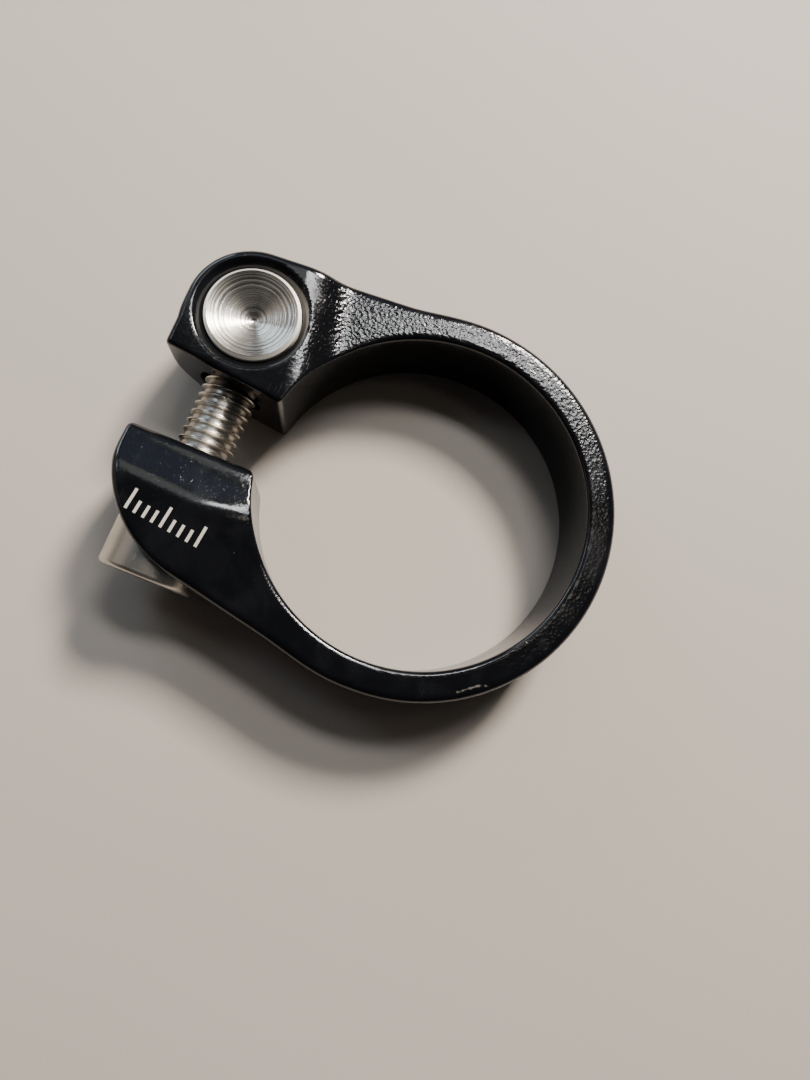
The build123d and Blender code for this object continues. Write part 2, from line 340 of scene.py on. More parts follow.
def relax(points, faces):
    """Moves each point to the middle of its neighbours."""
    ends = np.concatenate([faces[:, [side, (side + 1) % 4]] for side in range(4)])
    one, other = ends.T
    count = np.bincount(one, minlength=len(points)) + np.bincount(other, minlength=len(points))
    total = np.stack([np.bincount(one, points[other, axis], len(points))
                      + np.bincount(other, points[one, axis], len(points)) for axis in range(3)], axis=1)
    return total / count[:, None]


def skin(shape, low, high, cell):
    """Quad mesh over a shape: one point in each grid cell that the surface crosses."""
    margin = 2 * cell
    ticks = [np.arange(a - margin, b + margin + cell, cell) for a, b in zip(low, high)]
    inside = shape(*np.meshgrid(*ticks, indexing="ij")) < 0
    sizes = [n - 1 for n in inside.shape]
    corners = sum(inside[tuple(slice(c, c + n) for c, n in zip(corner, sizes))].astype(np.int8)
                  for corner in product((0, 1), repeat=3))
    crossed = (corners > 0) & (corners < 8)
    number_of = np.full(crossed.shape, -1)
    number_of[crossed] = np.arange(crossed.sum())
    middles = [tick[index] + cell / 2 for tick, index in zip(ticks, np.nonzero(crossed))]
    points = np.stack(middles, axis=1)

    faces = []
    for axis in range(3):
        across, up = np.eye(3, dtype=int)[[(axis + 1) % 3, (axis + 2) % 3]]
        first = np.take(inside, range(sizes[axis]), axis=axis)
        second = np.take(inside, range(1, sizes[axis] + 1), axis=axis)
        spot = np.argwhere(first != second)
        ring = [number_of[tuple((spot - back).T)] for back in (across + up, up, 0 * up, across)]
        quads = np.stack(ring, axis=1)
        outward = first[tuple(spot.T)]
        faces.append(np.where(outward[:, None], quads, quads[:, ::-1]))
    faces = np.concatenate(faces)

    step = cell / PROBES_PER_CELL
    points = settle(shape, points, step)
    for _ in range(RELAX_ROUNDS):
        points = settle(shape, relax(points, faces), step)
    return points, faces


# Lofted shapes

def ring_about(axis_point, axis, radius, along, steps, hexagon=False):
    """Ring of points about an axis, at one radius or one for each point, or a hexagon by its flats."""
    axis = Vector(axis)
    side = axis.orthogonal().normalized()
    other = axis.cross(side)
    centre = Vector(axis_point) + axis * along
    sixth = math.pi / 3
    points = []
    for step in range(steps):
        angle = 2 * math.pi * step / steps
        reach = radius[step] if hasattr(radius, "__len__") else radius
        if hexagon:
            reach = radius / math.cos((angle % sixth) - sixth / 2)
        points.append(centre + (side * math.cos(angle) + other * math.sin(angle)) * reach)
    return points


def loft(name, rings, caps=(None, None), closed=False):
    """Mesh through rings of points; caps are the points that close the first and the last ring."""
    steps = len(rings[0])
    points = [point for ring in rings for point in ring]
    faces = []
    for row in range(len(rings) if closed else len(rings) - 1):
        here, there = row * steps, (row + 1) % len(rings) * steps
        for step in range(steps):
            after = (step + 1) % steps
            faces.append((here + step, here + after, there + after, there + step))
    for cap, start, turned in ((caps[0], 0, True), (caps[1], (len(rings) - 1) * steps, False)):
        if cap is not None:
            points.append(cap)
            for step in range(steps):
                rim = (start + step, start + (step + 1) % steps)
                faces.append((*(reversed(rim) if turned else rim), len(points) - 1))
    mesh = bpy.data.meshes.new(name)
    mesh.from_pydata([tuple(point) for point in points], [], faces)
    return mesh


def piece(name, mesh, body, node, material):
    """Object that stands for a node of the frame, rides its body and has one finish."""
    mesh.materials.append(material)
    made = bpy.data.objects.new(name, mesh)
    bpy.context.scene.collection.objects.link(made)
    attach(made, body)
    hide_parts(node)
    return made


def smooth(mesh, sharp_degrees):
    """Smooth shading, with edges sharper than an angle left sharp."""
    mesh.shade_smooth()
    mesh.set_sharp_from_angle(angle=math.radians(sharp_degrees))


# Node trees

MIX_FACTOR, MIX_FROM, MIX_TO = 0, 6, 7  # sockets of a colour mix node
NUMBER_FROM, NUMBER_TO = 2, 3           # sockets of a number mix node


def give(tree, socket, value):
    """Links a socket to another one, or sets its value."""
    if isinstance(value, bpy.types.NodeSocket):
        tree.links.new(value, socket)
    else:
        socket.default_value = value


def put(tree, kind, inputs=None, **settings):
    """New node with its settings, its values and its links."""
    node = tree.nodes.new(kind)
    for name, value in settings.items():
        setattr(node, name, value)
    for name, value in (inputs or {}).items():
        give(tree, node.inputs[name], value)
    return node


def math_node(tree, operation, *values):
    """Result of a math node."""
    return put(tree, "ShaderNodeMath", dict(enumerate(values)), operation=operation).outputs[0]


def scaled(tree, value, share):
    """Value times a share."""
    return math_node(tree, "MULTIPLY", value, share)


def vector_node(tree, operation, *values):
    """Outputs of a vector math node: Vector, or Value where the result is a number."""
    return put(tree, "ShaderNodeVectorMath", dict(enumerate(values)), operation=operation).outputs


def scaled_vector(tree, vector, share):
    """Vector times a share."""
    inputs = {0: vector, "Scale": share}
    return put(tree, "ShaderNodeVectorMath", inputs, operation="SCALE").outputs["Vector"]


def noise(tree, position, scale, detail, distortion=0.0):
    """Outputs of a noise texture, whose broadest features are 1 / scale wide."""
    inputs = {"Vector": position, "Scale": scale, "Detail": detail, "Distortion": distortion}
    return put(tree, "ShaderNodeTexNoise", inputs).outputs


def mesh_mask(tree, name):
    """Mask that the mesh carries."""
    return put(tree, "ShaderNodeAttribute", attribute_name=name).outputs["Fac"]


def ramp_node(tree, value, start, end, low=0.0, high=1.0):
    """Value eased from low to high as it goes from start to end."""
    inputs = {"Value": value, "From Min": start, "From Max": end, "To Min": low, "To Max": high}
    return put(tree, "ShaderNodeMapRange", inputs, interpolation_type="SMOOTHSTEP").outputs["Result"]


def mix_colour(tree, factor, one, other):
    """Mix of two colours."""
    inputs = {MIX_FACTOR: factor, MIX_FROM: one, MIX_TO: other}
    return put(tree, "ShaderNodeMix", inputs, data_type="RGBA").outputs[2]


def shaded(tone, share):
    """Colour times a share."""
    return [share * part for part in tone[:3]] + [1.0]


def group_of(name, inputs, outputs):
    """Empty node group with named sockets, and its input and output nodes."""
    tree = bpy.data.node_groups.new(name, "ShaderNodeTree")
    for socket_name, kind, default in inputs:
        socket = tree.interface.new_socket(socket_name, in_out="INPUT", socket_type=kind)
        if default is not None:
            socket.default_value = default
    for socket_name in outputs:
        tree.interface.new_socket(socket_name, in_out="OUTPUT", socket_type="NodeSocketFloat")
    return tree, tree.nodes.new("NodeGroupInput").outputs, tree.nodes.new("NodeGroupOutput").inputs


def use_group(tree, name, inputs):
    """Outputs of a node group placed in a material."""
    node = tree.nodes.new("ShaderNodeGroup")
    node.node_tree = bpy.data.node_groups[name]
    for socket_name, value in inputs.items():
        give(tree, node.inputs[socket_name], value)
    return node.outputs


# Two runs of scratches: their heading, in radians, and how fine they are across
SCRATCH_RUNS = ((0.5, 9.0), (1.9, 13.0))
SCRATCH_TILT = (0.3, 0.2)
SCRATCH_STRETCH = 0.5


def make_handling_marks():
    """Group: faint smears and fine scratches from handling."""
    tree, given, result = group_of(
        "Handling marks",
        [("Position", "NodeSocketVector", None), ("Scratches", "NodeSocketFloat", 1.0)],
        ["Smear", "Scratch"])
    broad = noise(tree, given["Position"], scale=0.22, detail=4.0, distortion=0.6)["Fac"]
    tree.links.new(ramp_node(tree, broad, start=0.42, end=0.68), result["Smear"])
    total = None
    for heading, fineness in SCRATCH_RUNS:
        turned = put(tree, "ShaderNodeMapping", {
            "Vector": given["Position"], "Rotation": (*SCRATCH_TILT, heading),
            "Scale": (fineness, SCRATCH_STRETCH, fineness)}).outputs[0]
        fine = ramp_node(tree, noise(tree, turned, scale=1.0, detail=1.0)["Fac"], start=0.70, end=0.76)
        total = fine if total is None else math_node(tree, "MAXIMUM", total, fine)
    tree.links.new(math_node(tree, "MULTIPLY", total, given["Scratches"]), result["Scratch"])


def make_dust_specks():
    """Group: scattered round specks, in the three tenths of the cells that hold one."""
    tree, given, result = group_of(
        "Dust specks",
        [("Position", "NodeSocketVector", None), ("Spacing", "NodeSocketFloat", 1.4),
         ("Size", "NodeSocketFloat", 0.06)],
        ["Speck"])
    scale = math_node(tree, "DIVIDE", 1.0, given["Spacing"])
    cells = put(tree, "ShaderNodeTexVoronoi", {"Vector": given["Position"], "Scale": scale}).outputs
    chance = put(tree, "ShaderNodeSeparateColor", {"Color": cells["Color"]}).outputs[0]
    off = math_node(tree, "MULTIPLY", cells["Distance"], given["Spacing"])
    size = math_node(tree, "MULTIPLY", given["Size"], ramp_node(tree, chance, start=0.7, end=1.0))
    tree.links.new(math_node(tree, "LESS_THAN", off, size), result["Speck"])


def make_turned_rings():
    """Group: height of the fine rings that a turning tool leaves."""
    tree, given, result = group_of(
        "Turned rings",
        [("Radius", "NodeSocketFloat", 0.0), ("Pitch", "NodeSocketFloat", 0.1)],
        ["Height"])
    rings = math_node(tree, "DIVIDE", given["Radius"], given["Pitch"])
    uneven = put(tree, "ShaderNodeTexNoise", {"W": rings, "Scale": 1.0, "Detail": 3.0},
                 noise_dimensions="1D")
    tree.links.new(uneven.outputs["Fac"], result["Height"])


def new_material(name):
    """Material with a Principled shader; gives its tree, shader and the position in millimetres."""
    material = bpy.data.materials.new(name)
    material.use_nodes = True
    tree = material.node_tree
    shader = next(node for node in tree.nodes if node.type == "BSDF_PRINCIPLED")
    place = put(tree, "ShaderNodeTexCoord").outputs["Object"]
    return material, tree, shader, scaled_vector(tree, place, MM_PER_METRE)


def feed(tree, shader, **sockets):
    """Links or sets the shader's sockets."""
    for name, value in sockets.items():
        give(tree, shader.inputs[name.replace("_", " ")], value)


def bump(tree, height, depth, before=None):
    """Normal from a height, whose full range is a depth in millimetres."""
    inputs = {"Height": height, "Distance": depth * MM, "Strength": 1.0}
    if before is not None:
        inputs["Normal"] = before
    return put(tree, "ShaderNodeBump", inputs).outputs["Normal"]


def dot(tree, position, centre, direction):
    """Distance of a position from a centre along a direction."""
    off = vector_node(tree, "SUBTRACT", position, centre)["Vector"]
    return vector_node(tree, "DOT_PRODUCT", off, direction)["Value"]


def line_distance(tree, position, start, end):
    """Distance of a position from a straight line between two points, in millimetres."""
    way = Vector(end) - Vector(start)
    along = dot(tree, position, start, way.normalized())
    reach = put(tree, "ShaderNodeClamp", {"Value": along, "Min": 0.0, "Max": way.length}).outputs[0]
    spot = scaled_vector(tree, way.normalized(), reach)
    off = vector_node(tree, "SUBTRACT", position, start)["Vector"]
    return vector_node(tree, "DISTANCE", off, spot)["Value"]


# Etched index marks on the head ear, in millimetres
MARK_CENTRE = (-22.7, -11.8, 0.0)
MARK_HEADING = math.radians(-7.0)
MARK_SPACING = 0.95
MARK_HALF = 4.2       # half the length of the row
MARK_WIDTH = 0.30
MARK_SHORT = 1.3
MARK_LONG = 2.2
MARK_EVERY = 4.0      # marks from one long mark to the next
MARK_EDGE = 0.03      # softness of the marks' edges
MARK_DEPTH = 1.0      # how far below the ear's top a mark may lie
BETWEEN_COUNTS = 0.5  # halfway between two whole numbers


def index_marks(tree, position):
    """Mask of a row of plain ticks, every fourth one longer."""
    along = dot(tree, position, MARK_CENTRE, (math.cos(MARK_HEADING), math.sin(MARK_HEADING), 0.0))
    across = dot(tree, position, MARK_CENTRE, (-math.sin(MARK_HEADING), math.cos(MARK_HEADING), 0.0))
    height = dot(tree, position, (0.0, 0.0, EAR_TOP / MM), (0.0, 0.0, 1.0))
    count = math_node(tree, "ROUND", math_node(tree, "DIVIDE", along, MARK_SPACING))
    past_mark = math_node(tree, "SUBTRACT", along, scaled(tree, count, MARK_SPACING))
    bar = ramp_node(tree, math_node(tree, "ABSOLUTE", past_mark),
                    start=MARK_WIDTH / 2 + MARK_EDGE, end=MARK_WIDTH / 2 - MARK_EDGE)
    rest = math_node(tree, "ABSOLUTE", math_node(tree, "WRAP", count, MARK_EVERY / 2, -MARK_EVERY / 2))
    tall = math_node(tree, "LESS_THAN", rest, BETWEEN_COUNTS)
    reach = put(tree, "ShaderNodeMix", {MIX_FACTOR: tall, NUMBER_FROM: MARK_SHORT, NUMBER_TO: MARK_LONG})
    top = math_node(tree, "SUBTRACT", reach.outputs[0], MARK_LONG / 2)
    foot = -MARK_LONG / 2
    mask = bar
    for part in (ramp_node(tree, across, start=foot - MARK_EDGE, end=foot + MARK_EDGE),
                 ramp_node(tree, math_node(tree, "SUBTRACT", top, across), start=-MARK_EDGE, end=MARK_EDGE),
                 math_node(tree, "LESS_THAN", math_node(tree, "ABSOLUTE", along), MARK_HALF),
                 math_node(tree, "GREATER_THAN", height, -MARK_DEPTH)):
        mask = math_node(tree, "MULTIPLY", mask, part)
    return mask


# Gloss paint: depths of its relief in millimetres, and shares in which its marks show
PEBBLE_DEPTH = 0.044
WAVE_DEPTH = 0.02
SCRATCH_DEPTH = 0.002
PEBBLE_WARP = (0.5, 0.5, 0.5)
GRAIN_SHARE = 0.7
CUT_PEBBLE = 0.12     # share of the pebbles' height on a cut face
BARE_SHARE = 0.34     # how far the scuff goes through the paint
SMEAR_LIFT = 1.6      # paint's colour under a smear
DUST_SHARE = 0.2
SCRATCH_ROUGH = 0.12
MARK_ROUGH = 0.5
SPECK_ROUGH = 0.6
BARE_METALLIC = 0.8
PAINT_IOR = 1.5


def pebbled_skin(tree, position):
    """Height of the paint over the blasted forging, lower on the cuts."""
    warp = noise(tree, position, scale=0.9, detail=2.0)["Color"]
    bent = vector_node(tree, "MULTIPLY_ADD", warp, PEBBLE_WARP, position)["Vector"]
    pebble = put(tree, "ShaderNodeTexVoronoi", {"Vector": bent, "Scale": 2.6, "Smoothness": 0.5},
                 feature="SMOOTH_F1").outputs["Distance"]
    grain = noise(tree, position, scale=4.0, detail=2.0)["Fac"]
    peel = math_node(tree, "ADD", pebble, scaled(tree, grain, GRAIN_SHARE))
    patchy = noise(tree, position, scale=0.16, detail=1.0)["Fac"]
    off_cuts = ramp_node(tree, mesh_mask(tree, "machined"), start=0.0, end=1.0, low=1.0, high=CUT_PEBBLE)
    in_patches = ramp_node(tree, patchy, start=0.3, end=0.7, low=0.7, high=1.0)
    strength = math_node(tree, "MULTIPLY", off_cuts, in_patches)
    strength = math_node(tree, "MULTIPLY", strength, mesh_mask(tree, "pebbled"))
    return math_node(tree, "MULTIPLY", peel, strength)


def bare_spots(tree, position):
    """Mask of the nicks through the paint, along the scuff and here and there on the edges."""
    crumbs = noise(tree, position, scale=2.2, detail=4.0)["Fac"]
    lines = [line_distance(tree, position, *ends) for ends in zip(SCUFF[:-1], SCUFF[1:])]
    width = ramp_node(tree, crumbs, start=0.35, end=0.65, low=0.02, high=0.14)
    ragged = math_node(tree, "SUBTRACT", math_node(tree, "MINIMUM", *lines), width)
    on_scuff = ramp_node(tree, ragged, start=0.05, end=-0.13, low=0.0, high=BARE_SHARE)
    rare = ramp_node(tree, noise(tree, position, scale=1.1, detail=3.0)["Fac"], start=0.735, end=0.76)
    sharp = ramp_node(tree, mesh_mask(tree, "edge"), start=0.8, end=1.6)
    return math_node(tree, "MAXIMUM", on_scuff, math_node(tree, "MULTIPLY", rare, sharp))


def make_paint(finish):
    """Gloss black paint: pebbled skin, smooth cuts, nicks, dust and index marks."""
    material, tree, shader, position = new_material("black_paint")
    marks = use_group(tree, "Handling marks", {"Position": position, "Scratches": 1.0})
    speck = use_group(tree, "Dust specks", {"Position": position, "Spacing": 2.2, "Size": 0.05})["Speck"]
    bare = bare_spots(tree, position)
    ticks = index_marks(tree, position)

    wave = noise(tree, position, scale=0.35, detail=1.0)["Fac"]
    normal = bump(tree, pebbled_skin(tree, position), PEBBLE_DEPTH, bump(tree, wave, WAVE_DEPTH))
    normal = bump(tree, marks["Scratch"], -SCRATCH_DEPTH, normal)

    tint = mix_colour(tree, marks["Smear"], finish.paint, shaded(finish.paint, SMEAR_LIFT))
    tint = mix_colour(tree, scaled(tree, speck, DUST_SHARE), tint, finish.dust)
    tint = mix_colour(tree, ticks, tint, finish.mark)
    tint = mix_colour(tree, bare, tint, finish.bare_metal)
    rough = ramp_node(tree, marks["Smear"], start=0.0, end=1.0, low=0.12, high=0.18)
    rough = math_node(tree, "ADD", rough, scaled(tree, marks["Scratch"], SCRATCH_ROUGH))
    rough = math_node(tree, "MAXIMUM", rough, scaled(tree, ticks, MARK_ROUGH))
    rough = math_node(tree, "MAXIMUM", rough, scaled(tree, speck, SPECK_ROUGH))
    feed(tree, shader, Base_Color=tint, Roughness=rough, Normal=normal,
         Metallic=scaled(tree, bare, BARE_METALLIC), IOR=PAINT_IOR)
    return material


# Turned steel: pitches and depths of its rings in millimetres, and shares of its colour and roughness
FINE_PITCH, FINE_DEPTH = 0.07, 0.014
COARSE_PITCH, COARSE_DEPTH = 0.24, 0.045
# Painted shade: the grooves between the turned rings are painted darker; painted highlight: the outer wall
# and chamfers are painted lighter
GROOVE_SHADE = 0.45
RIM_HIGHLIGHT = 1.25
RIM_ROUGH = 0.35
RIM_FADE = 0.02
NUT_SMEAR_ROUGH = 0.05
TURNED_ANISOTROPY = 0.75
QUARTER_TURN = 0.25


def make_turned_steel(finish):
    """Bright steel with the rings of the turning tool about the nut's axis, painted shade in the rings'
    grooves and a painted highlight on the outer wall and chamfers.
    """
    material, tree, shader, position = new_material("turned_steel")
    from_axis = vector_node(tree, "SUBTRACT", position, (NUT_X / MM, NUT_Y / MM, 0.0))["Vector"]
    flat = vector_node(tree, "MULTIPLY", from_axis, (1.0, 1.0, 0.0))["Vector"]
    radius = vector_node(tree, "LENGTH", flat)["Value"]
    fine = use_group(tree, "Turned rings", {"Radius": radius, "Pitch": FINE_PITCH})["Height"]
    coarse = use_group(tree, "Turned rings", {"Radius": radius, "Pitch": COARSE_PITCH})["Height"]
    marks = use_group(tree, "Handling marks", {"Position": position, "Scratches": 0.6})
    face = (NUT_RADIUS - bpy.context.scene.clamp_nut.edge) / MM
    rim = ramp_node(tree, radius, start=face - RIM_FADE, end=face + RIM_FADE)

    ridge = ramp_node(tree, coarse, start=0.38, end=0.58)
    # Grooves painted darker, as painted shade
    tint = mix_colour(tree, ridge, shaded(finish.steel, GROOVE_SHADE), finish.steel)
    # Outer wall and chamfers painted lighter, as a painted highlight; they are rougher too
    tint = mix_colour(tree, rim, tint, shaded(finish.steel, RIM_HIGHLIGHT))
    rough = ramp_node(tree, fine, start=0.3, end=0.7, low=0.20, high=0.32)
    rough = math_node(tree, "ADD", rough, scaled(tree, marks["Smear"], NUT_SMEAR_ROUGH))
    rough = math_node(tree, "ADD", rough, scaled(tree, rim, RIM_ROUGH))
    normal = bump(tree, fine, FINE_DEPTH, bump(tree, coarse, COARSE_DEPTH))
    tangent = put(tree, "ShaderNodeTangent", direction_type="RADIAL", axis="Z").outputs[0]
    feed(tree, shader, Base_Color=tint, Roughness=rough, Normal=normal, Metallic=1.0,
         Anisotropic=TURNED_ANISOTROPY, Anisotropic_Rotation=QUARTER_TURN, Tangent=tangent)
    return material


# Bolt steel: lathe rings and scratches in millimetres, and shares of its colour and roughness
LATHE_PITCH, LATHE_DEPTH = 0.09, 0.006
BOLT_SCRATCH_DEPTH = 0.003
BOLT_SMEAR_SHADE = 0.8
BOLT_DUST_SHARE = 0.6
# Painted shade in the thread's roots: its share of the dark colour, the roots' extra roughness, and its
# margin
ROOT_SHADE_SHARE = 0.4
ROOT_ROUGH = 0.1
ROOT_SHADE_MARGIN = 0.1    # between the thread's crests or roots and where the painted root shade begins or is full
HEAD_ROUGH = 0.12
HEAD_FROM, HEAD_FULL = 0.2, 0.4  # past the thread's crests, where the head's roughness begins and is full
BOLT_SCRATCH_ROUGH = 0.15


def make_bolt_steel(finish, name, shade):
    """Bright plated steel with lathe rings, smears, fine scratches, and painted shade in the thread's
    roots.
    """
    material, tree, shader, position = new_material(name)
    marks = use_group(tree, "Handling marks", {"Position": position, "Scratches": 1.0})
    speck = use_group(tree, "Dust specks", {"Position": position, "Spacing": 0.9, "Size": 0.05})["Speck"]
    from_axis = vector_node(tree, "SUBTRACT", position, (BOLT_X / MM, 0.0, BOLT_Z / MM))["Vector"]
    along = put(tree, "ShaderNodeSeparateXYZ", {"Vector": from_axis}).outputs["Y"]
    across = vector_node(tree, "MULTIPLY", from_axis, (1.0, 0.0, 1.0))["Vector"]
    radius = vector_node(tree, "LENGTH", across)["Value"]
    crest = bpy.context.scene.clamp_bolt.thread_radius / MM
    root = bpy.context.scene.clamp_bolt.root_radius / MM
    root_shade = ramp_node(tree, radius, start=crest - ROOT_SHADE_MARGIN, end=root + ROOT_SHADE_MARGIN)
    head = ramp_node(tree, radius, start=crest + HEAD_FROM, end=crest + HEAD_FULL)
    rings = use_group(tree, "Turned rings", {"Radius": along, "Pitch": LATHE_PITCH})["Height"]

    bright = shaded(finish.steel, shade)
    tint = mix_colour(tree, marks["Smear"], bright, shaded(bright, BOLT_SMEAR_SHADE))
    tint = mix_colour(tree, scaled(tree, speck, BOLT_DUST_SHARE), tint, finish.dust)
    # Thread's roots painted darker, as painted shade
    tint = mix_colour(tree, scaled(tree, root_shade, ROOT_SHADE_SHARE), tint, finish.root_shade)
    rough = ramp_node(tree, marks["Smear"], start=0.0, end=1.0, low=0.20, high=0.30)
    for mask, more in ((root_shade, ROOT_ROUGH), (head, HEAD_ROUGH), (marks["Scratch"], BOLT_SCRATCH_ROUGH)):
        rough = math_node(tree, "ADD", rough, scaled(tree, mask, more))
    normal = bump(tree, marks["Scratch"], -BOLT_SCRATCH_DEPTH, bump(tree, rings, LATHE_DEPTH))
    feed(tree, shader, Base_Color=tint, Roughness=rough, Normal=normal, Metallic=1.0)
    return material


FLOOR_CLOUD = 0.96    # the floor's darkest tone, as a share of its colour
FLOOR_ROUGH = 0.85


def make_floor_material(tone):
    """Plain matt floor."""
    material, tree, shader, position = new_material("plain_floor")
    cloud = noise(tree, position, scale=0.02, detail=2.0)["Fac"]
    tint = mix_colour(tree, cloud, shaded(tone, FLOOR_CLOUD), tone)
    feed(tree, shader, Base_Color=tint, Roughness=FLOOR_ROUGH)
    return material


def ensure_groups():
    """Builds the shared node groups once."""
    for name, make in (("Handling marks", make_handling_marks), ("Dust specks", make_dust_specks),
                       ("Turned rings", make_turned_rings)):
        if name not in bpy.data.node_groups:
            make()


class CLAMP_OT_collar(bpy.types.Operator):
    """Build the painted split collar with its two ears"""
    bl_idname = "clamp.collar"
    bl_label = "Collar"

    # Pebbled skin, in millimetres: on the ring from this X, and on the nut's side of it from this Y
    PEBBLED_X, PEBBLED_X_FADE = -19.0, 3.0
    PEBBLED_Y, PEBBLED_Y_FADE = 2.0, 9.0
    SMOOTH_CORNER = (-16.5, 4.5)  # beside the nut ear's inner corner
    SMOOTH_REACH, SMOOTH_FADE = 2.0, 5.0
    PEBBLED_LEAST = 0.2           # share that is left on the other side and at the corner
    PEBBLED_BASE = 0.1            # share that is left on the ears
    EDGE_LIMIT, EDGE_LEAST = 1.2, 0.15  # bend that smooths the skin, and the share left on an edge
    PROBE = 0.15 * MM             # reach of the measures of bends and cuts

    def execute(self, context):
        settings = context.scene.clamp_collar

        def shape(x, y, z):
            return collar_shape(x, y, z, settings)

        points, faces = skin(shape, COLLAR_LOW, COLLAR_HIGH, settings.cell)
        mesh = bpy.data.meshes.new("collar_body")
        mesh.from_pydata(points.tolist(), [], faces.tolist())
        mesh.shade_smooth()
        out = slope_of(shape, points, settings.cell / PROBES_PER_CELL)
        out /= np.linalg.norm(out, axis=1)[:, None]
        mesh.normals_split_custom_set_from_vertices(out.tolist())
        for name, values in self.masks(shape, points, settings).items():
            mask = mesh.attributes.new(name, "FLOAT", "POINT")
            mask.data.foreach_set("value", values.astype(np.float32))
        ensure_groups()
        piece("collar_body", mesh, "collar", "collar",
              make_paint(context.scene.clamp_finish))
        return {"FINISHED"}

    def masks(self, shape, points, settings):
        """How sharply the surface bends, where it was cut, and where its skin is pebbled."""
        bend = -6 * shape(*points.T)
        for axis in np.eye(3) * self.PROBE:
            bend = bend + shape(*(points + axis).T) + shape(*(points - axis).T)
        edge = bend / self.PROBE ** 2 * MM
        nearest = np.min([np.abs(cut) for cut, _ in collar_cuts(*points.T, settings)], axis=0)
        x, y, _ = points.T / MM
        onto_ring = np.clip((x - self.PEBBLED_X) / self.PEBBLED_X_FADE, 0, 1)
        onto_nut_side = np.clip((y - self.PEBBLED_Y) / self.PEBBLED_Y_FADE, self.PEBBLED_LEAST, 1)
        from_corner = np.hypot(x - self.SMOOTH_CORNER[0], y - self.SMOOTH_CORNER[1])
        off_corner = np.clip((from_corner - self.SMOOTH_REACH) / self.SMOOTH_FADE, self.PEBBLED_LEAST, 1)
        off_edge = np.clip(self.EDGE_LIMIT - edge, self.EDGE_LEAST, 1)
        on_skin = onto_ring * onto_nut_side * off_corner
        return {"edge": edge, "machined": np.clip(1 - nearest / self.PROBE, 0, 1),
                "pebbled": (self.PEBBLED_BASE + (1 - self.PEBBLED_BASE) * on_skin) * off_edge}


class CLAMP_OT_barrel_nut(bpy.types.Operator):
    """Build the turned barrel nut with its tapped hole"""
    bl_idname = "clamp.barrel_nut"
    bl_label = "Barrel nut"

    STEPS, HOLE_STEPS = 96, 64           # faces round the nut and round its hole
    STEPS_PER_RING = 4                   # rows of faces in each of the tool's rings
    RING_BASE, RING_SWING = 0.6, 0.4     # share of a ring's height, and how much it varies
    RING_BEATS = (1.7, 0.37)             # how fast it varies
    SHARP_DEGREES = 25

    def execute(self, context):
        settings = context.scene.clamp_nut
        mesh = loft("barrel_nut_body", *self.rings(settings))
        self.drill(mesh, settings.thread_radius)
        smooth(mesh, self.SHARP_DEGREES)
        ensure_groups()
        piece("barrel_nut_body", mesh, "barrel_nut", "barrel_nut",
              make_turned_steel(context.scene.clamp_finish))
        return {"FINISHED"}

    def rings(self, settings):
        """Rings of the lower cone, the wall and the upper cone, and the cones' bottoms."""
        face = NUT_RADIUS - settings.edge
        slope = settings.cone_depth / face
        bottom = NUT_HALF - settings.cone_depth
        cone = []
        count = round(face / settings.ring_pitch) * self.STEPS_PER_RING
        for step in range(1, count + 1):
            radius = face * step / count
            phase = 2 * math.pi * step / self.STEPS_PER_RING
            beat = math.sin(self.RING_BEATS[0] * step) * math.cos(self.RING_BEATS[1] * step)
            uneven = self.RING_BASE + self.RING_SWING * beat
            lift = settings.ring_depth * uneven * (math.cos(phase) - 1) / 2
            cone.append((radius, bottom + slope * radius + lift * (step < count)))
        half = cone + [(NUT_RADIUS, NUT_HALF - settings.edge)]
        profile = [(radius, -height) for radius, height in half] + [*reversed(half)]
        centre = Vector((NUT_X, NUT_Y, NUT_Z))
        rings = [ring_about(centre, (0, 0, 1), radius, height, self.STEPS) for radius, height in profile]
        return rings, (centre - Vector((0, 0, bottom)), centre + Vector((0, 0, bottom)))

    def drill(self, mesh, radius):
        """Cuts the tapped hole through the nut along Y."""
        ends = (NUT_Y - 2 * NUT_RADIUS, NUT_Y + 2 * NUT_RADIUS)
        centre = Vector((NUT_X, 0, BOLT_Z))
        rings = [ring_about(centre, (0, 1, 0), radius, y, self.HOLE_STEPS) for y in ends]
        caps = [centre + Vector((0, y, 0)) for y in ends]
        tool = bpy.data.objects.new("tap_drill", loft("tap_drill", rings, caps))
        blank = bpy.data.objects.new("nut_blank", mesh)
        for made in (tool, blank):
            bpy.context.scene.collection.objects.link(made)
        cut = blank.modifiers.new("tapped_hole", "BOOLEAN")
        cut.operation = "DIFFERENCE"
        cut.solver = "EXACT"
        cut.object = tool
        finished = blank.evaluated_get(bpy.context.evaluated_depsgraph_get())
        drilled = bpy.data.meshes.new_from_object(finished)
        faces = [tuple(face.vertices) for face in drilled.polygons]
        points = [tuple(vertex.co) for vertex in drilled.vertices]
        mesh.clear_geometry()
        mesh.from_pydata(points, [], faces)
        bpy.data.meshes.remove(drilled)
        for made in (tool, blank):
            bpy.data.objects.remove(made)


